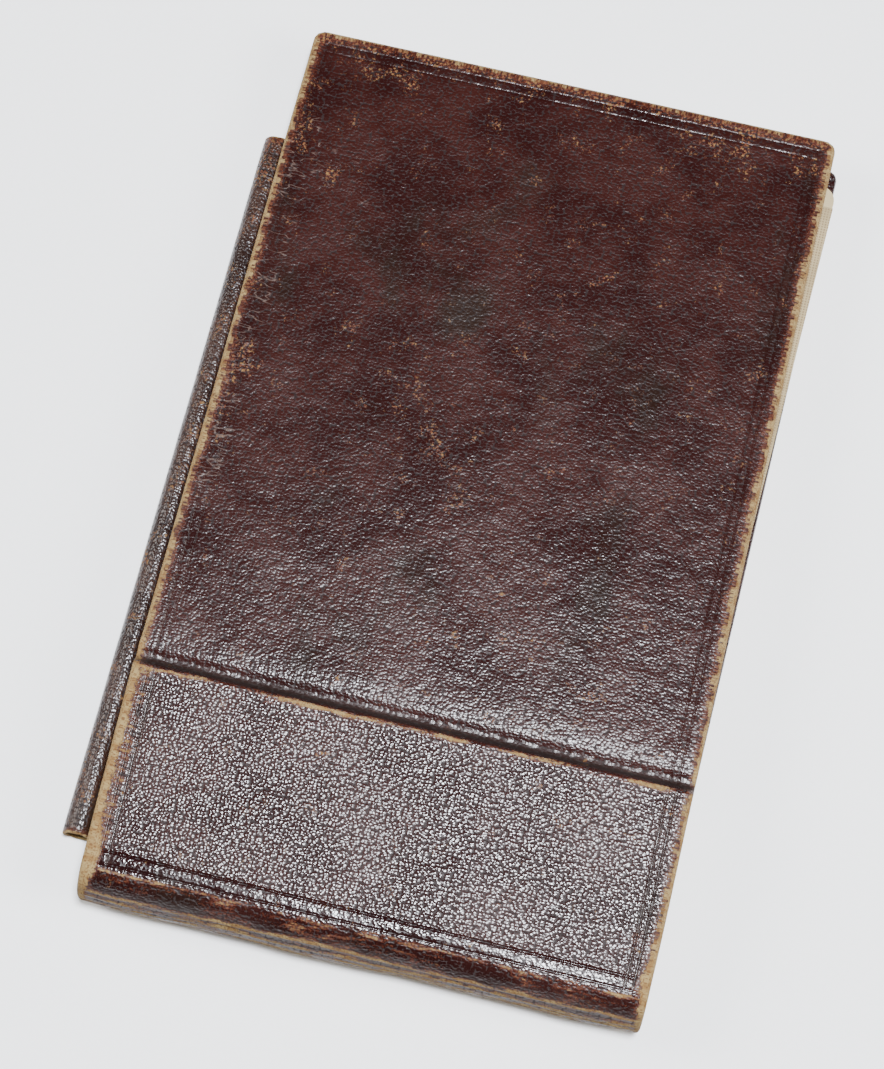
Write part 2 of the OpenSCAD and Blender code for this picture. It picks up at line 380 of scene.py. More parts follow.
class Graph:
    """A material's node tree, with a short way to add nodes and join them."""

    def __init__(self, name):
        self.material = bpy.data.materials.new(name)
        self.material.use_nodes = True
        self.tree = self.material.node_tree
        self.tree.nodes.clear()

    def feed(self, socket, value):
        if isinstance(value, bpy.types.NodeSocket):
            self.tree.links.new(value, socket)
        else:
            socket.default_value = value

    def node(self, kind, inputs, **settings):
        made = self.tree.nodes.new("ShaderNode" + kind)
        for key, value in settings.items():
            setattr(made, key, value)
        for key, value in inputs.items():
            self.feed(made.inputs[key], value)
        return made

    def read(self, name, output="Fac"):
        return self.node("Attribute", {}, attribute_name=name).outputs[output]

    def math(self, operation, a, b=0.0, clamp=False):
        made = self.node("Math", {0: a, 1: b}, operation=operation, use_clamp=clamp)
        return made.outputs[0]

    def chain(self, operation, values):
        total = values[0]
        for value in values[1:]:
            total = self.math(operation, total, value)
        return total

    def add(self, *values):
        return self.chain("ADD", values)

    def times(self, *values):
        return self.chain("MULTIPLY", values)

    def most(self, *values):
        return self.chain("MAXIMUM", values)

    def around(self, value, amount):
        """A value from 0 to 1 made to swing about zero, by half the amount each way."""
        return self.times(self.math("SUBTRACT", value, 0.5), amount)

    def step(self, value, low, high, to_low=0.0, to_high=1.0):
        """Goes smoothly from to_low to to_high as value goes from low to high."""
        inputs = {"Value": value, "From Min": low, "From Max": high, "To Min": to_low, "To Max": to_high}
        return self.node("MapRange", inputs, interpolation_type="SMOOTHSTEP").outputs["Result"]

    def mix(self, factor, a, b):
        """A colour between a and b."""
        made = self.node("Mix", {0: factor, 6: a, 7: b}, data_type="RGBA")
        return made.outputs[2]

    def blend(self, factor, a, b):
        """A number between a and b."""
        return self.node("Mix", {0: factor, 2: a, 3: b}, data_type="FLOAT").outputs[0]

    def in_millimetres(self):
        """The place on the piece, in its own frame."""
        return self.stretch(self.node("TexCoord", {}).outputs["Object"], (1000, 1000, 1000))

    def stretch(self, vector, scale, turn=0.0):
        inputs = {"Vector": vector, "Scale": scale, "Rotation": (0, 0, math.radians(turn))}
        return self.node("Mapping", inputs).outputs["Vector"]

    def noise(self, vector, scale, detail=3.0, rough=0.5, dimensions="2D"):
        inputs = {"Vector": vector, "Scale": scale, "Detail": detail, "Roughness": rough}
        return self.node("TexNoise", inputs, noise_dimensions=dimensions).outputs["Fac"]

    def cells(self, vector, scale, **inputs):
        """Distance to the nearest of many scattered points."""
        inputs.update({"Vector": vector, "Scale": scale})
        made = self.node("TexVoronoi", inputs, feature="F1", voronoi_dimensions="2D")
        return made.outputs["Distance"]

    def bump(self, height, distance, normal=None):
        inputs = {"Height": height, "Distance": distance, "Strength": 1.0}
        if normal is not None:
            inputs["Normal"] = normal
        return self.node("Bump", inputs).outputs["Normal"]

    def finish(self, **inputs):
        shader = self.node("BsdfPrincipled", {key.replace("_", " "): v for key, v in inputs.items()})
        out = self.tree.nodes.new("ShaderNodeOutputMaterial")
        self.tree.links.new(shader.outputs[0], out.inputs["Surface"])
        return self.material

    def finish_matt(self, colour, rough, normal):
        return self.finish(Base_Color=colour, Roughness=rough, Normal=normal, Specular_IOR_Level=0.3)


def rgb(red, green, blue):
    return (red, green, blue, 1.0)


# Colours of the hide where it is rubbed bare
TAN = rgb(0.180, 0.104, 0.036)
TAN_PALE = rgb(0.240, 0.166, 0.070)
TAN_DARK = rgb(0.085, 0.032, 0.011)
TAN_RED = rgb(0.125, 0.033, 0.015)
# Colours of the dyed grain where something has happened to it, and of the painted shade and painted highlights on
# it
STAINED = rgb(0.0095, 0.0058, 0.0036)
# Painted shade, over the dyed grain and over the bare hide: the dark groove just above the hinge's crest and the
# spine's lower half
SHADED_DYE = rgb(0.0045, 0.0011, 0.0011)
SHADED_TAN = rgb(0.010, 0.0042, 0.0022)
# Painted highlight: pale lines where light catches the creases
CREASE_HIGHLIGHT = rgb(0.110, 0.080, 0.068)
# Painted shade in the gaps between the pebbles
PEBBLE_GAP_SHADE = rgb(0.0055, 0.0014, 0.0014)
TOOLED = rgb(0.0080, 0.0022, 0.0022)
REDDENED = rgb(0.045, 0.0115, 0.0060)

# What the mesh tells the leather about each point: its distance from the edge, how wide the rubbed
# band is there, how rubbed, pressed, scuffed or shiny the place is, how much painted shade it gets, and how
# stained or creased it is
MASKS = ("edge", "band", "rubbed", "pressed", "scuff", "shine", "painted_shade", "stain", "creased")


class Leather(Graph):
    """Worn pebbled goatskin."""

    def __init__(self, name):
        super().__init__(name)
        self.mask = {mask: self.read(mask) for mask in MASKS}
        self.skin = skin = self.read("skin", "Vector")
        grain = self.swayed(self.read("grain", "Vector"))
        distance = self.cells(grain, 1.0, Randomness=0.85)
        self.pebble = self.math("SUBTRACT", 1.0, self.times(distance, distance, 2.2))
        self.wrinkle = self.noise(self.stretch(grain, (0.55, 1.0, 1.0), 12.0), 0.9, 3.0, 0.6)
        self.lumps = self.noise(skin, 0.45, 3.0, 0.6)
        self.broad = self.noise(skin, 0.07, 4.0, 0.6)
        self.fine = self.noise(skin, 3.2, 3.0, 0.7)
        self.specks = self.noise(skin, 1.5, 2.0, 0.6)

    def swayed(self, place):
        """place moved about a little, so that the pebbles don't lie in rows."""
        sway = self.node("TexNoise", {"Vector": self.skin, "Scale": 0.55, "Detail": 2.0},
                         noise_dimensions="2D").outputs["Color"]
        push = self.node("VectorMath", {0: sway, 1: (0.5, 0.5, 0.5)}, operation="SUBTRACT").outputs[0]
        push = self.node("VectorMath", {0: push, "Scale": 0.8}, operation="SCALE").outputs[0]
        return self.node("VectorMath", {0: place, 1: push}, operation="ADD").outputs[0]

    def crease_highlights(self):
        """Painted highlights: fine pale lines where light catches the creases of the bent leather."""
        folds = self.noise(self.stretch(self.skin, (0.11, 0.42, 1.0), -8.0), 1.0, 2.0, 0.55)
        lines = self.math("ABSOLUTE", self.math("SUBTRACT", folds, 0.5))
        lines = self.step(lines, 0.002, 0.020, 1.0, 0.0)
        place = self.add(self.mask["creased"], self.around(self.lumps, 0.8))
        return self.times(lines, self.step(place, 0.35, 0.75))

    def dyed(self, base, warm):
        """The dyed grain, with its stains and pressed lines, painted highlights on its creases, and painted shade
        in its pebble gaps, the hinge's groove and the lower spine.
        """
        colour = self.mix(self.step(self.broad, 0.36, 0.64), base, warm)
        patch = self.noise(self.stretch(self.skin, (1.0, 0.6, 1.0), 30.0), 0.045, 5.0, 0.6)
        stain = self.step(self.add(patch, self.times(self.mask["stain"], 0.22)), 0.58, 0.76)
        colour = self.mix(self.times(stain, 0.75), colour, STAINED)
        # Painted shade in the hinge's groove and on the lower spine
        colour = self.mix(self.times(self.mask["painted_shade"], 0.70), colour, SHADED_DYE)
        # Painted highlights along the creases
        colour = self.mix(self.times(self.crease_highlights(), 0.65), colour, CREASE_HIGHLIGHT)
        # Painted shade in the gaps between the pebbles
        gaps = self.times(self.step(self.pebble, 0.45, 0.05), 0.75)
        colour = self.mix(gaps, colour, PEBBLE_GAP_SHADE)
        return self.mix(self.times(self.mask["pressed"], 0.60), colour, TOOLED)

    def scuffed_tops(self):
        """Where the tops of the pebbles are rubbed through, in clusters."""
        cluster = self.noise(self.skin, 0.20, 4.0, 0.75)
        chance = self.add(cluster, self.times(self.mask["scuff"], 0.32), self.around(self.fine, 0.25))
        return self.times(self.step(self.pebble, 0.30, 0.80), self.step(chance, 0.62, 0.80),
                          self.step(self.specks, 0.42, 0.56))

    def rubbed_edges(self):
        """Where the band along the edges is bare, and the reddened leather beside it."""
        band = self.mask["band"]
        ragged = self.add(self.around(self.lumps, 1.5), self.around(self.fine, 1.6),
                          self.around(self.pebble, 0.35))
        reach = self.add(band, self.times(ragged, self.step(band, 0.0, 0.8)))
        reach = self.math("SUBTRACT", reach, self.mask["edge"])
        return self.step(reach, -0.05, 0.30), self.times(self.step(reach, -0.9, 0.1), 0.50)

    def rubbed_ridges(self):
        """Where ridges and folds are bare, in streaks, and the reddened leather beside them."""
        rubbed = self.mask["rubbed"]
        streak = self.noise(self.stretch(self.skin, (0.30, 1.5, 1.0)), 0.8, 4.0, 0.65)
        streak = self.times(self.around(streak, 2.6), self.step(rubbed, 0.0, 0.25))
        ridge = self.add(self.times(rubbed, 1.5), self.around(self.pebble, 0.3), streak,
                         self.around(self.fine, 0.8))
        return self.step(ridge, 0.75, 1.15), self.times(self.step(ridge, 0.30, 0.85), 0.6)

    def hide(self):
        """The bare hide under the dye."""
        colour = self.mix(self.step(self.lumps, 0.36, 0.60), TAN, TAN_PALE)
        return self.mix(self.times(self.step(self.fine, 0.50, 0.62), 0.8), colour, TAN_DARK)

    def roughness(self):
        """How rough the grain is where nothing has dulled it."""
        dull_flap = self.times(self.math("SUBTRACT", 1.0, self.mask["shine"]), 0.045)
        rough = self.add(self.step(self.pebble, -0.10, 0.5, 0.55, 0.235), dull_flap,
                         self.around(self.broad, 0.25))
        rough = self.add(rough, self.times(self.mask["painted_shade"], 0.35))
        return self.math("SUBTRACT", rough, self.times(self.mask["pressed"], 0.07), clamp=True)

    def normal(self, bare):
        """The pebbles, wrinkles and lumps, flattened where the leather is rubbed or pressed."""
        worn = self.most(self.times(bare, 0.80), self.times(self.mask["pressed"], 0.85),
                         self.times(self.mask["painted_shade"], 0.7))
        height = self.add(self.pebble, self.times(self.wrinkle, 0.35), self.times(self.fine, 0.10))
        height = self.times(height, self.step(worn, 0.0, 1.0, 1.0, 0.12),
                            self.step(self.mask["shine"], 0.0, 1.0, 0.42, 1.0))
        return self.bump(self.lumps, 0.00015, self.bump(height, 0.000058))


def leather(name, base, warm):
    """The leather's material, dyed with a colour that drifts between base and warm."""
    g = Leather(name)
    tops = g.scuffed_tops()
    edge_bare, edge_halo = g.rubbed_edges()
    ridge_bare, ridge_halo = g.rubbed_ridges()
    bare = g.most(edge_bare, ridge_bare)
    halo = g.most(edge_halo, ridge_halo)
    colour = g.dyed(base, warm)
    colour = g.mix(g.times(tops, 0.85), colour, g.mix(g.step(g.specks, 0.50, 0.64), TAN_RED, TAN))
    colour = g.mix(halo, colour, g.mix(g.step(g.fine, 0.42, 0.60), REDDENED, TAN_RED))
    colour = g.mix(bare, colour, g.hide())
    # Painted shade over the bare hide as well, in the hinge's groove and on the lower spine
    colour = g.mix(g.times(g.mask["painted_shade"], 0.62), colour, SHADED_TAN)

    shine = g.mask["shine"]
    gaps = g.times(g.step(g.pebble, 0.35, -0.15), g.step(shine, 0.0, 1.0, 0.55, 0.20))
    dull = g.most(bare, g.times(halo, 0.4), tops, gaps)
    rough = g.blend(dull, g.roughness(), 0.78)
    gloss = g.blend(dull, g.step(shine, 0.0, 0.6, 0.28, 0.50), 0.15)
    return g.finish(Base_Color=colour, Roughness=rough, Normal=g.normal(bare), Specular_IOR_Level=gloss)


def leather_piece(name, points, faces, material, skin, pebble, **masks):
    """A piece of leather.

    skin is where each point lies on the flat hide, in millimetres, and pebble is how many pebbles
    of grain there are to the millimetre each way. A mask that isn't given is 0 all over.
    """
    masks = {key: masks.get(key, 0) + 0 * skin[:, 0] for key in MASKS}
    return make_mesh(name, points, faces, material, skin=skin, grain=skin * pebble, **masks)


def card(name, face, dirt):
    """Aged card or paper with fibres, foxing and a soft tooth."""
    g = Graph(name)
    place = g.in_millimetres()
    fibres = g.noise(g.stretch(place, (0.5, 1.6, 4.0)), 1.6, 6.0, 0.7, "3D")
    cloud = g.noise(place, 0.035, 6.0, 0.65, "3D")
    spots = g.noise(place, 0.55, 2.0, 0.5, "3D")
    colour = g.mix(g.times(g.step(cloud, 0.40, 0.75), 0.55), face, dirt)
    colour = g.mix(g.times(g.step(fibres, 0.55, 0.75), 0.35), colour, dirt)
    colour = g.mix(g.times(g.step(spots, 0.66, 0.74), 0.45), colour, rgb(0.16, 0.080, 0.030))
    return g.finish_matt(colour, 0.85, g.bump(fibres, 0.00005))


def linen(name, face, shade, on_cloth=False):
    """Fine bookbinder's linen: threads over and under, two to the millimetre.

    With on_cloth the threads follow the cloth's own flat measure, so that they bend with it.
    """
    g = Graph(name)
    place = g.read("skin", "Vector") if on_cloth else g.in_millimetres()
    bands = []
    thread = {"Vector": place, "Scale": 0.62, "Distortion": 0.5, "Detail": 1.0}
    for direction in ("X", "Y"):
        bands.append(g.node("TexWave", thread, bands_direction=direction).outputs["Fac"])
    weave = g.most(*bands)
    slub = g.noise(g.stretch(place, (0.2, 2.0, 1.0)), 1.2, 3.0, 0.6)
    soil = g.noise(place, 0.06, 4.0, 0.6)
    colour = g.mix(g.step(weave, 0.2, 0.9), shade, face)
    colour = g.mix(g.times(g.step(soil, 0.4, 0.7), 0.5), colour, shade)
    colour = g.mix(g.times(g.step(slub, 0.5, 0.8), 0.3), colour, rgb(0.46, 0.380, 0.240))
    return g.finish_matt(colour, 0.88, g.bump(weave, 0.00006))


def white_floor():
    g = Graph("studio_white")
    place = g.node("TexCoord", {}).outputs["Object"]
    paper = g.noise(place, 900.0, 3.0, 0.6)
    colour = g.mix(paper, rgb(0.90, 0.90, 0.90), rgb(0.93, 0.93, 0.93))
    return g.finish(Base_Color=colour, Roughness=0.9, Specular_IOR_Level=0.1)


COVER = leather("cover_leather_worn", rgb(0.0132, 0.0020, 0.0017), rgb(0.0215, 0.0039, 0.0027))
LOOP = leather("loop_leather_worn", rgb(0.0120, 0.0040, 0.0026), rgb(0.0240, 0.0082, 0.0044))
BOARD = card("strawboard", rgb(0.22, 0.160, 0.085), rgb(0.13, 0.088, 0.046))
PAPER = card("lining_paper_aged", rgb(0.33, 0.245, 0.140), rgb(0.20, 0.140, 0.072))
CARD = card("cream_card", rgb(0.42, 0.335, 0.190), rgb(0.26, 0.190, 0.095))
LINEN_COLOURS = (rgb(0.36, 0.280, 0.155), rgb(0.20, 0.145, 0.075))
LINEN = linen("linen", *LINEN_COLOURS)
LINEN_BENT = linen("linen_hinges", *LINEN_COLOURS, on_cloth=True)
THREAD = linen("waxed_thread", rgb(0.42, 0.340, 0.220), rgb(0.26, 0.200, 0.120))

NODE_MATERIALS = {
    "cover_leather": COVER, "loop_leather": LOOP, "board": BOARD, "lining_paper": PAPER,
    "card": CARD, "linen": LINEN, "thread": THREAD,
}
for subpart in frame["record"]["subparts"]:
    node = frame["nodes"][subpart["node"]]
    node.data.materials.clear()
    node.data.materials.append(NODE_MATERIALS[subpart["material_slot"]])


# ---------- the front skin

FRONT = front_profile()
S_CREST = FRONT.at_y(CREST_Y)
S_STRIP = FRONT.at_y(SPINE_Y)
S_ROOT = FRONT.at_y(FLAP_ROOT_Y)
S_END = FRONT.at_y(FLAP_END_Y - 0.3) + 0.3
S_TOOL_LOW = [S_STRIP + d for d in TOOL_SPINE]
S_TOOL_HIGH = [S_END - d for d in TOOL_END]
X_TOOL = [HALF_W - d for d in TOOL_SIDE]
# Lengths from the floor up the spine at which its folds lie
SPINE_FOLDS = (11.2, 13.0, 14.7, 16.3)
# Pebbles of grain to the millimetre, across the case and along it
FRONT_PEBBLE = np.array([1.65, 1.95, 1.0])
BACK_PEBBLE = np.array([1.55, 1.7, 1.0])
LOOP_PEBBLE = np.array([1.8, 1.8, 1.0])


def groove(d):
    return bell(d, 0.16)


def fold_line(x, k):
    return SPINE_FOLDS[k] + 0.8 * wave(x, 0 * x, 19, 5.3 + k)


def tooled_lines(x, s):
    """How deep in a tooled line each point is, from 0 to 1."""
    sides = sum(groove(abs(x) - t) for t in X_TOOL)
    along = smooth((s - S_TOOL_LOW[1] + 0.1) / 0.2) * smooth((S_TOOL_HIGH[0] + 0.1 - s) / 0.2)
    lines = sides * along * (1 - 0.8 * bell(s - S_CREST - 1.2, 1.2))
    across = sum(groove(s - t) for t in S_TOOL_LOW + S_TOOL_HIGH)
    return np.clip(np.maximum(lines, across * smooth((X_TOOL[0] + 0.1 - abs(x)) / 0.2)), 0, 1)


def spine_relief(x, s):
    """The spine is uneven along its length and folded into creases on its lower half."""
    lift = 0.40 * wave(x, 0 * s, 21, 9.4) + 0.14 * wave(x, s, 8, 2.2)
    for k in range(len(SPINE_FOLDS)):
        d = s - fold_line(x, k)
        fold = 0.20 * bell(d - 0.75, 0.5) - 0.34 * bell(d, 0.30)
        lift += fold * (0.75 + 0.5 * wave(x, s, 14, k))
    return lift * smooth((s - 3) / 6) * smooth((S_STRIP - s) / 3)


def front_relief(x, s):
    """Height of the front's outer face over its even profile."""
    s_in = np.minimum(s, S_END)
    lift = 0.16 * wave(x, s_in, 26, 0.2) + 0.06 * wave(x, s_in, 6, 1.7)
    lift *= smooth((s - S_STRIP) / 6) * (1 - 0.7 * bell(s - S_CREST - 2, 3))
    # The boards' long edges are pressed down by handling, most of all on the left of the strip.
    strip = smooth((S_CREST + 0.5 - s) / 3) * smooth((s - S_STRIP + 3) / 4)
    lift -= (0.10 + 0.30 * strip) * bell(x + HALF_W, 3.4) + 0.08 * bell(x - HALF_W, 2.4)
    lift -= (0.07 + 0.17 * strip) * tooled_lines(x, s)
    lift += 0.12 * bell(s - S_CREST + 0.5, 0.8) * (0.6 + wave(x, s, 7, 3.1))
    return lift + spine_relief(x, s)


def along_front(on_spine, on_strip, in_groove, on_flap):
    """A value for each stretch of the front, going smoothly from one to the next."""

    def value(s):
        s = np.asarray(s, float)
        out = on_spine + (on_strip - on_spine) * smooth((s - S_STRIP + 2.5) / 3)
        out = out + (in_groove - on_strip) * smooth((s - S_CREST - 0.1) / 1.3)
        return out + (on_flap - in_groove) * smooth((s - S_ROOT + 1.6) / 2.6)

    return value


def corner_rows(end):
    """Grid rows across the round corners at the end of a cover."""
    return [end - CORNER_R + 0.3, end - CORNER_R + 0.6, end - EDGE_ROLL]


front_rows = np.r_[
    spread(0.0, S_STRIP - 4, 0.45),
    spread(S_STRIP - 4, S_CREST - 2, 0.8, near_lines(S_TOOL_LOW))[1:],
    spread(S_CREST - 2, S_ROOT + 3, 0.22)[1:],
    spread(S_ROOT + 3, S_END - CORNER_R, 0.8, near_lines(S_TOOL_HIGH))[1:],
    corner_rows(S_END),
]
side_lines = [sign * t for t in X_TOOL for sign in (-1, 1)]
front_columns = spread(-GRID_REACH, GRID_REACH, 0.9, near_lines(side_lines))
front_skin = Skin(
    FRONT, S_END, front_rows, front_columns,
    roll=along_front(0.75, EDGE_ROLL, 0.45, EDGE_ROLL),
    depth=along_front(1.5, STRIP_T + 0.25, 0.60, COVER_T),
    turn=along_front(6.0, 2.3, 2.3, TURN_IN),
    relief=front_relief,
)


# Spots on the front: x, y, half length, half width, turn in degrees and strength.
# Where the grain is scuffed through:
SCUFFS = (
    (13.0, 44.0, 4.5, 0.7, 35.0, 1.2), (12.4, 6.8, 1.8, 1.3, 10.0, 1.0),
    (-11.7, 68.6, 1.4, 1.0, 0.0, 0.8), (-12.5, 11.0, 15.0, 4.5, -42.0, 0.45),
    (-38.5, 52.4, 1.5, 1.5, 0.0, 0.6), (-44.0, 13.0, 7.0, 2.2, 80.0, 0.6),
    (27.0, -28.1, 4.5, 2.2, 0.0, 0.5), (-16.1, -60.2, 3.2, 1.1, 15.0, 0.5),
    (-38.0, -54.3, 1.6, 0.8, 100.0, 0.5), (10.6, -23.3, 7.0, 2.0, 20.0, 0.45),
    (27.7, 71.0, 14.0, 5.0, 0.0, 0.26), (-36.0, 72.0, 11.0, 5.0, 20.0, 0.26),
    (16.7, 56.8, 1.4, 2.4, 20.0, 0.7), (-44.0, 58.0, 2.0, 6.0, 10.0, 0.5),
)
# Where the colour has gone dark and greenish:
STAINS = (
    (-7.1, 33.0, 10.0, 7.0, 20.0, 1.0),
    (5.9, 19.0, 7.0, 10.0, -20.0, 1.0),
    (-7.9, -14.3, 5.0, 6.0, 0.0, 0.9),
)


def near_spots(x, y, spots):
    """How far inside the spots each point is, added up over all of them."""
    out = 0 * x
    for cx, cy, long, wide, turn, strength in spots:
        c, d = math.cos(math.radians(turn)), math.sin(math.radians(turn))
        u, v = (x - cx) * c + (y - cy) * d, (y - cy) * c - (x - cx) * d
        out = out + strength * np.exp(-((u / long) ** 2) - (v / wide) ** 2)
    return out


def scuffing(x, y):
    """How likely the grain is to be scuffed through at each point of the front."""
    out = 0.52 * smooth((y - FLAP_END_Y + 3.0) / 1.5) + 0.25 * smooth((y - FLAP_END_Y + 12) / 10)
    out = out + 0.35 * smooth((abs(x) - HALF_W + 5) / 3) * (0.5 + wave(x, y, 14, 31.0))
    return np.clip(out + near_spots(x, y, SCUFFS), 0, 1.2)


def creasing(x, y):
    """How creased the flap is, which sets where highlights are painted along its creases: most along its left
    margin, where the boards beneath are bent.
    """
    left = smooth((-x - 40.5) / 3) * smooth((y + 15) / 10) * smooth((FLAP_END_Y - 14 - y) / 8)
    return left + 0.45 * smooth((-x - 16) / 14) * bell(y - 52, 16)


def edge_band(x, s, strip, face):
    """Width of the band rubbed bare along the edges, widest at the corners by the spine."""
    left_strip = 0.55 * strip * smooth(-x / 8)
    low_corner = bell(s - S_STRIP, 4) * smooth((abs(x) - 42) / 5)
    crease = bell(s - (S_CREST + 1.6), 1.3) * smooth((x + 40) / 10)
    free_end = smooth((s - (S_END - 3)) / 3) * smooth((X_TOOL[0] - abs(x)) / 4)
    band = 0.95 + left_strip + 0.9 * low_corner * (1 + smooth(-x / 8)) + 0.30 * wave(x, s, 9, 4.4)
    return (band - 0.9 * crease - 0.25 * free_end) * (0.55 + 0.45 * face)


def rubbing(x, s, strip, on_spine):
    """How rubbed the raised places are: the crest, the spine's top edge and its folds."""
    crest = bell(s - (S_CREST - 0.3), 0.45) * (0.62 + 0.7 * wave(x, 0 * x, 9, 6.1))
    crest += 0.30 * bell(s - S_CREST + 0.8, 1.5) * (0.5 + wave(x, s, 5, 8.6))
    ridge = 0.70 * bell(s - (S_TOOL_LOW[1] - 1.1), 0.50) * (0.8 + 0.6 * wave(x, s, 6, 7.7))
    folds = sum(0.95 * bell(s - fold_line(x, k) - 0.80, 0.45) for k in range(len(SPINE_FOLDS)))
    mottle = 0.36 * smooth((S_STRIP - 2 - s) / 2) * (0.6 + 1.3 * wave(x, 2 * s, 13, 33.0))
    base = 0.75 * smooth((SPINE_FOLDS[0] + 0.5 - s) / 1.5) * smooth(s / 5)
    side_rub = 0.50 * strip * bell(x + X_TOOL[0] + 0.6, 1.6) * (1 - on_spine)
    rubbed = crest + ridge + side_rub + (folds + base + mottle) * on_spine
    return np.clip(rubbed * (0.85 + 0.35 * wave(x, s, 7, 1.1)), 0, 1)


def pressing(x, s, on_spine):
    """How pressed the grain is: most in the tooled lines, less between them and on the spine."""
    in_sides = smooth((X_TOOL[0] + 0.1 - abs(x)) / 0.3)
    inside = smooth((abs(x) - X_TOOL[1] + 0.1) / 0.3) * in_sides
    inside *= smooth((s - S_TOOL_LOW[1]) / 0.4) * smooth((S_TOOL_HIGH[0] - s) / 0.4) * 0.35
    for low, high in (sorted(S_TOOL_LOW), sorted(S_TOOL_HIGH)):
        between = smooth((s - low + 0.1) / 0.3) * smooth((high + 0.1 - s) / 0.3)
        inside = np.maximum(inside, between * in_sides)
    along = smooth((s - S_TOOL_LOW[1]) / 0.3) * smooth((S_TOOL_HIGH[0] + 0.2 - s) / 0.3)
    across = smooth((X_TOOL[0] + 0.2 - abs(x)) / 0.3)
    lines = [bell(abs(x) - t, 0.22) * along for t in X_TOOL]
    lines += [bell(s - t, 0.22) * across for t in S_TOOL_LOW + S_TOOL_HIGH]
    lines = np.maximum.reduce(lines) * (1 - 0.45 * smooth((s - S_CREST) / 10))
    return np.clip(0.5 * inside + lines * (0.7 + wave(x, s, 5, 51.0)) + 0.5 * on_spine, 0, 1)


def front_masks(skin):
    """What the leather's material needs to know about each point of the front."""
    x, s = skin.flat[:, 0], skin.flat[:, 1]
    y = FLAP_ROOT_Y + (s - S_ROOT)
    on_spine = smooth((S_STRIP + 0.5 - s) / 2)
    strip = smooth((S_CREST + 1 - s) / 2)
    face = 1 - skin.under
    # Painted shade over the spine's lower half, near the floor
    painted_spine_shade = 0.6 * on_spine * smooth((21 - s) / 5) * face
    return {
        "band": edge_band(x, s, strip, face),
        "rubbed": rubbing(x, s, strip, on_spine) * face,
        "pressed": pressing(x, s, on_spine) * face,
        "shine": 1 - 0.66 * smooth((s - S_CREST) / 5) - 0.32 * smooth((s - S_CREST) / 75),
        "scuff": scuffing(x, y) * face,
        # Painted shade: a dark band in the groove just above the crest, and the spine's lower half
        "painted_shade": np.clip(bell(s - (S_CREST + 1.7), 1.0) + painted_spine_shade, 0, 1),
        "stain": near_spots(x, y, STAINS) * face,
        "creased": creasing(x, y) * face,
    }


front_points = front_skin.points.copy()
# The sides waver a little, and the left one is pushed in by the spine.
front_s = front_skin.flat[:, 1]
front_points[:, 0] += 0.12 * wave(0 * front_s, front_s, 23, 71.0)
at_left = smooth((-front_points[:, 0] - 40) / 6)
front_points[:, 0] += 0.30 * at_left * bell(front_s - S_STRIP + 4, 9)
front = leather_piece("front_leather", front_points, front_skin.faces, COVER, front_skin.flat,
                      FRONT_PEBBLE, edge=front_skin.edge, **front_masks(front_skin))
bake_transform(front)
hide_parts("strip_leather", "spine_leather", "hinge_leather", "flap_leather")


# ---------- the back skin

back_profile = Profile([(y, 0.0) for y in np.arange(SPINE_Y - 0.6, BACK_HI[1], 0.5)], side=-1)
BACK_S = BACK_HI[1] - SPINE_Y + 0.6


def back_relief(x, s):
    return -0.10 - 0.08 * wave(x, s, 24, 12.5)


def everywhere(value):
    """The same value at every length along a skin."""
    return lambda s: np.full(np.shape(s), float(value))


back_rows = np.r_[spread(0.0, BACK_S - CORNER_R, 1.4), corner_rows(BACK_S)]
back_skin = Skin(
    back_profile, BACK_S, back_rows, spread(-GRID_REACH, GRID_REACH, 1.6),
    roll=everywhere(EDGE_ROLL),
    depth=everywhere(COVER_T),
    turn=everywhere(TURN_IN),
    relief=back_relief,
)
back_points = back_skin.points.copy()
back_points[:, 0] += BACK_LEAN * (back_points[:, 1] - SPINE_Y)
# The back is cut from the hide away from the front, so that the grain isn't the same on both.
BACK_ON_HIDE = np.array([200, 0, 0])


def back_masks(skin):
    """What the leather's material needs to know about each point of the back."""
    x, s = skin.flat[:, 0], skin.flat[:, 1]
    face = 1 - skin.under
    band = 1.0 + 0.4 * wave(x, s, 9, 14.1) + 0.9 * smooth((s - BACK_S + 6) / 6)
    return {
        "band": band * (1 - 0.4 * skin.under),
        "rubbed": 0.30 * np.clip(wave(x, s, 16, 15.2), 0, 1) * face,
        "scuff": (0.35 + 0.35 * wave(x, s, 20, 16.3)) * face,
        "shine": 0.4,
    }


back = leather_piece(
    "back_leather_skin", back_points, back_skin.faces, COVER, back_skin.flat + BACK_ON_HIDE,
    BACK_PEBBLE, edge=back_skin.edge, **back_masks(back_skin)
)
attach(back, "case")
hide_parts("back_leather")


# ---------- cloth joints


def slab_faces(n, m):
    """The faces of a closed sheet whose points are two grids of n rows by m columns."""
    rim = outline(n, m) + list(range(m - 2, 0, -1))
    sides = [(a, b, b + n * m, a + n * m) for a, b in zip(rim, rim[1:] + rim[:1])]
    return grid_faces(n, m) + grid_faces(n, m, first=n * m) + sides


def thin_slab(x, y, top, bottom):
    """A closed sheet from a grid of places with the heights of its two faces."""
    layers = [np.stack([x, y, z], -1).reshape(-1, 3) for z in (top, bottom)]
    flat = np.stack([x, y, 0 * x], -1).reshape(-1, 3)
    return np.vstack(layers), slab_faces(*x.shape), np.vstack([flat, flat])


CLOTH_LO, CLOTH_HI = mm_box("hinge_cloth")
LINING_TOP = mm_box("flap_lining")[1][2]
GUARD_END_Y = mm_box("guard_5")[1][1]
CLOTH_T = 0.20


def joint_cloth_height(y):
    """The upper face of the cloth under the hinge, from the strip's board to the flap's lining."""
    strip = SPINE_TOP + (y - SPINE_Y) * STRIP_RISE - STRIP_T
    flap = FLAP_ROOT_Z - (y - FLAP_ROOT_Y) * FLAP_FALL - (FLAP_ROOT_Z - LINING_TOP) - 0.25
    rise = 0.30 * bell(y - HINGE[1] + 0.2, 1.5)
    over = smooth((y - CREST_Y) / (FLAP_ROOT_Y - CREST_Y))
    return strip * (1 - over) + flap * over + rise


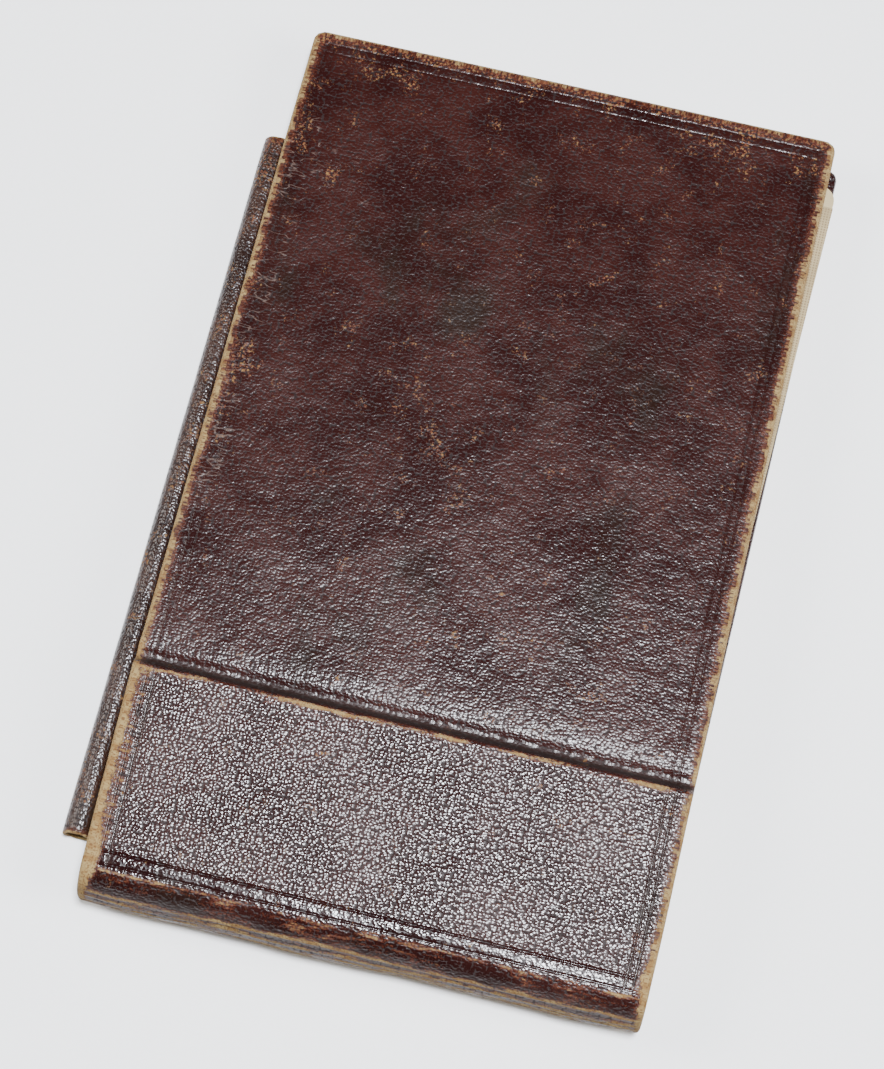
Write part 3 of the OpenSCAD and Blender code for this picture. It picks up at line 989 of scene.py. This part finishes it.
def add_joint_cloth():
    """The linen that joins the strip to the flap under the groove of the hinge."""
    rows = np.r_[spread(GUARD_END_Y - 3, CREST_Y, 0.9), spread(CREST_Y, FLAP_ROOT_Y, 0.3)[1:],
                 spread(FLAP_ROOT_Y, FLAP_ROOT_Y + 5.5, 0.8)[1:]]
    x, y = np.meshgrid(spread(CLOTH_LO[0], CLOTH_HI[0], 2.0), rows)
    y = y + 0.25 * wave(x, 0 * x, 12, 41.0) * smooth((y - FLAP_ROOT_Y) / 5)
    top = joint_cloth_height(y) + 0.04 * wave(x, y, 7, 42.0)
    points, faces, flat = thin_slab(x, y, top, top - CLOTH_T)
    cloth = make_mesh("joint_cloth", points, faces, LINEN_BENT, skin=flat)
    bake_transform(cloth)
    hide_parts("hinge_cloth")


def add_leaf_hinge(k):
    """Linen round the tongue and the root of a sleeve, where the sleeve is hinged like a page."""
    axis = joint(f"leaf_{k}_hinge")
    tongue_lo, tongue_hi = mm_box(f"tongue_{k}")
    card_lo, card_hi = mm_box(f"leaf_{k}_front")
    end_z = mm_box(f"leaf_{k}_back")[0][2] + 0.35
    fall = (end_z - axis[2]) / (card_hi[1] - axis[1])
    x, y = np.meshgrid(spread(tongue_lo[0] + 0.1, tongue_hi[0] - 0.1, 2.4),
                       spread(GUARD_END_Y + 0.1, card_lo[1] + 5.2, 0.35))
    root = card_lo[1] + 1.25 - (x - axis[0]) * 0.028
    y = y + 0.2 * wave(x, 0 * x, 10, 50.0 + k) * smooth((y - root) / 4)
    middle = axis[2] + fall * np.maximum(0, y - axis[1])
    half = 0.21 + 0.33 * smooth((y - root + 1.0) / 1.0) - 0.05 * smooth((y - root - 3) / 1.5)
    lift = 0.02 * wave(x, y, 5, 60.0 + k)
    points, faces, flat = thin_slab(x, y, middle + half + lift, middle - half + lift)
    hinge = make_mesh(f"leaf_{k}_linen_hinge", points, faces, LINEN_BENT, skin=flat)
    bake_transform(hinge)


add_joint_cloth()
for leaf in range(1, 5):
    add_leaf_hinge(leaf)


# ---------- the pencil loop

LOOP_MID, LOOP_AXIS, LOOP_DIMS = mount("pencil_loop_bore")
LOOP_IN, LOOP_LEN = LOOP_DIMS["r_mm"], LOOP_DIMS["length_mm"]
LOOP_OUT = LOOP_MID[0] + LOOP_AXIS[0] * LOOP_LEN / 2 - mm_box("pencil_loop")[0][0]
NECK_T = 0.5
LOOP_ALONG = -LOOP_AXIS / np.linalg.norm(LOOP_AXIS)
LOOP_ACROSS = np.array([LOOP_ALONG[1], -LOOP_ALONG[0], 0.0])
LOOP_START = LOOP_MID - LOOP_ALONG * LOOP_LEN / 2
TUBE_SIDES = 40
# The raw rim at each end of the tube: how far in from the end each ring lies, and its radius
LOOP_RIM = [
    (0.30, LOOP_IN), (0.08, LOOP_IN + 0.08), (0.0, LOOP_IN + 0.25), (0.02, LOOP_IN + 0.42),
    (0.12, LOOP_OUT - 0.04),
]
# Where on the hide the tube and its neck are cut from
TUBE_ON_HIDE, NECK_ON_HIDE = 400, 420


def tube_rings():
    """Each ring's length along the tube and its radius: a rim, the outside, a rim, the inside."""
    stations = spread(0.0, LOOP_LEN, 1.3)
    outside = [(t, LOOP_OUT) for t in stations if 0.3 < t < LOOP_LEN - 0.3]
    far_rim = [(LOOP_LEN - t, r) for t, r in LOOP_RIM[::-1]]
    inside = [(t, LOOP_IN) for t in stations[::-1] if 0.5 < t < LOOP_LEN - 0.5]
    return np.array(LOOP_RIM + outside + far_rim + inside)


def tube_faces(rings):
    """Quads between the rings of the tube, the last of which joins the first."""
    last = (rings - 1) * TUBE_SIDES
    after = [(j + 1) % TUBE_SIDES for j in range(TUBE_SIDES)]
    closing = [(last + j, last + k, k, j) for j, k in enumerate(after)]
    return grid_faces(rings, TUBE_SIDES, closed=True) + closing


def loop_tube():
    """A leather tube with a thick raw rim at each end: its points, faces, place on the hide, edge."""
    rings = tube_rings()
    t, r = rings[:, :1], rings[:, 1:]
    a = np.linspace(0, 2 * math.pi, TUBE_SIDES, endpoint=False)[None, :]
    to_end = np.minimum(t, LOOP_LEN - t)
    lump = 0.05 * wave(t, 4 * np.sin(a), 5, 21.0) - 0.10 * bell(to_end, 5.0) * np.sin(a) ** 2
    radius = r + lump * np.where(r > LOOP_IN + 0.1, 1.0, 0.5)
    ragged = t + 0.18 * wave(3 * np.cos(a), 3 * np.sin(a), 2, 22.0) * bell(to_end, 0.8)
    points = LOOP_START + ragged[..., None] * LOOP_ALONG
    points = points + (radius * np.cos(a))[..., None] * LOOP_ACROSS
    points[..., 2] += radius * np.sin(a)
    girth, length, to_end = np.broadcast_arrays(r * a, t, to_end)
    flat = np.stack([girth + TUBE_ON_HIDE, length, 0 * length], -1).reshape(-1, 3)
    edge = np.where(r > LOOP_OUT - 0.1, to_end, 0.0).ravel()
    return points.reshape(-1, 3), tube_faces(len(rings)), flat, edge


def loop_neck():
    """The flat tab that runs from the tube in over the inner face of the back cover."""
    lo, hi = mm_box("pencil_loop")
    end = hi[0] - lo[0] - LOOP_OUT - 2
    outs = np.r_[LOOP_IN + 0.1, LOOP_OUT + 0.2, LOOP_OUT + 0.6, np.linspace(LOOP_OUT + 1.2, end, 7)]
    u, t = np.meshgrid(outs, spread(0.15, LOOP_LEN - 0.15, 1.6))
    lift = 0.02 + 0.02 * wave(u, t, 6, 24.0)
    layers = []
    for level in (NECK_T / 2 + 0.05, -NECK_T / 2):
        points = LOOP_START + t[..., None] * LOOP_ALONG + u[..., None] * LOOP_ACROSS
        points[..., 2] += level + lift
        layers.append(points.reshape(-1, 3))
    flat = np.stack([u + NECK_ON_HIDE, t, 0 * t], -1).reshape(-1, 3)
    edge = np.minimum(np.minimum(t, LOOP_LEN - t), end - u + 0.2).ravel()
    return np.vstack(layers), slab_faces(*u.shape), np.vstack([flat, flat]), np.r_[edge, edge]


def loop_masks(x, s):
    """What the leather's material needs to know: the loop is most worn at its far end."""
    scuff = 0.35 + 0.5 * bell(s - LOOP_LEN, 8) + 0.3 * wave(x, s, 9, 27.0)
    rubbed = 0.30 * bell(s - LOOP_LEN, 6) + 0.2 * wave(x, s, 5, 26.0)
    return {
        "band": 0.40 + 0.15 * wave(x, s, 2.5, 25.0),
        "rubbed": np.clip(rubbed, 0, 0.6),
        "scuff": np.clip(scuff, 0, 1),
        "shine": 0.45,
    }


def add_loop():
    """The tube and its neck, as one piece."""
    tube, tube_quads, tube_flat, tube_edge = loop_tube()
    neck, neck_quads, neck_flat, neck_edge = loop_neck()
    faces = tube_quads + [tuple(i + len(tube) for i in face) for face in neck_quads]
    flat = np.vstack([tube_flat, neck_flat])
    loop = leather_piece(
        "pencil_loop_leather", np.vstack([tube, neck]), faces, LOOP, flat, LOOP_PEBBLE,
        edge=np.r_[tube_edge, neck_edge], **loop_masks(flat[:, 0], flat[:, 1])
    )
    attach(loop, "case")
    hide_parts("pencil_loop")


add_loop()


# ---------- floor, light and camera


# From here on in metres. The floor lies a hair below the case, so that no two faces coincide.
FLOOR_HALF, FLOOR_Z = 3.0, -0.0003
KEY_COLOUR = (0.91, 0.945, 1.0)
SOFT_COLOUR = (1.0, 0.98, 0.955)
ROOM_COLOUR = (0.93, 0.96, 1.0, 1.0)
CAMERA_FORWARD = (-0.0708, 0.2751, -0.9588)
CAMERA_UP = (-0.2244, 0.9322, 0.2840)
CAMERA_TARGET = (-0.0035, -0.0063, 0.008)
CAMERA_DISTANCE = 0.5057
CAMERA_LENS, CAMERA_SENSOR = 99.97, 36.0


def add_floor():
    """A plain white sheet under the case."""
    mesh = bpy.data.meshes.new("floor")
    corners = [(x * FLOOR_HALF, y * FLOOR_HALF, FLOOR_Z) for x, y in ((-1, -1), (1, -1), (1, 1), (-1, 1))]
    mesh.from_pydata(corners, [], [(0, 1, 2, 3)])
    mesh.materials.append(white_floor())
    floor = new_object("floor", mesh)


def add_light(name, place, size, power, colour):
    """A round lamp that points at the middle of the case."""
    lamp = bpy.data.lights.new(name, "AREA")
    lamp.shape, lamp.size, lamp.energy = "DISK", size, power
    lamp.color = colour
    made = new_object(name, lamp)
    made.location = place
    made.rotation_euler = (-Vector(place)).to_track_quat("-Z", "Y").to_euler()


def add_world(strength):
    """Soft light from all round."""
    world = bpy.data.worlds.new("soft_room")
    world.use_nodes = True
    back_light = world.node_tree.nodes["Background"]
    back_light.inputs["Color"].default_value = ROOM_COLOUR
    back_light.inputs["Strength"].default_value = strength
    bpy.context.scene.world = world


def add_camera():
    """Looks down on the case from the spine end, a little from the right, as a hand-held picture."""
    forward = Vector(CAMERA_FORWARD).normalized()
    up = Vector(CAMERA_UP)
    camera = bpy.data.cameras.new("camera")
    camera.lens, camera.sensor_width = CAMERA_LENS, CAMERA_SENSOR
    camera.clip_start = 0.01
    made = new_object("camera", camera)
    right = forward.cross(up).normalized()
    up = right.cross(forward)
    turned = Matrix((right, up, -forward)).transposed().to_4x4()
    place = Vector(CAMERA_TARGET) - forward * CAMERA_DISTANCE
    made.matrix_world = Matrix.Translation(place) @ turned
    bpy.context.scene.camera = made


add_floor()
add_world(0.08)
add_light("key", (0.115, -0.085, 1.1), 0.20, 34.0, KEY_COLOUR)
add_light("left_soft", (-0.85, 0.05, 0.75), 0.60, 9.0, SOFT_COLOUR)
add_light("right_soft", (0.85, -0.10, 0.75), 0.60, 9.0, SOFT_COLOUR)
add_camera()
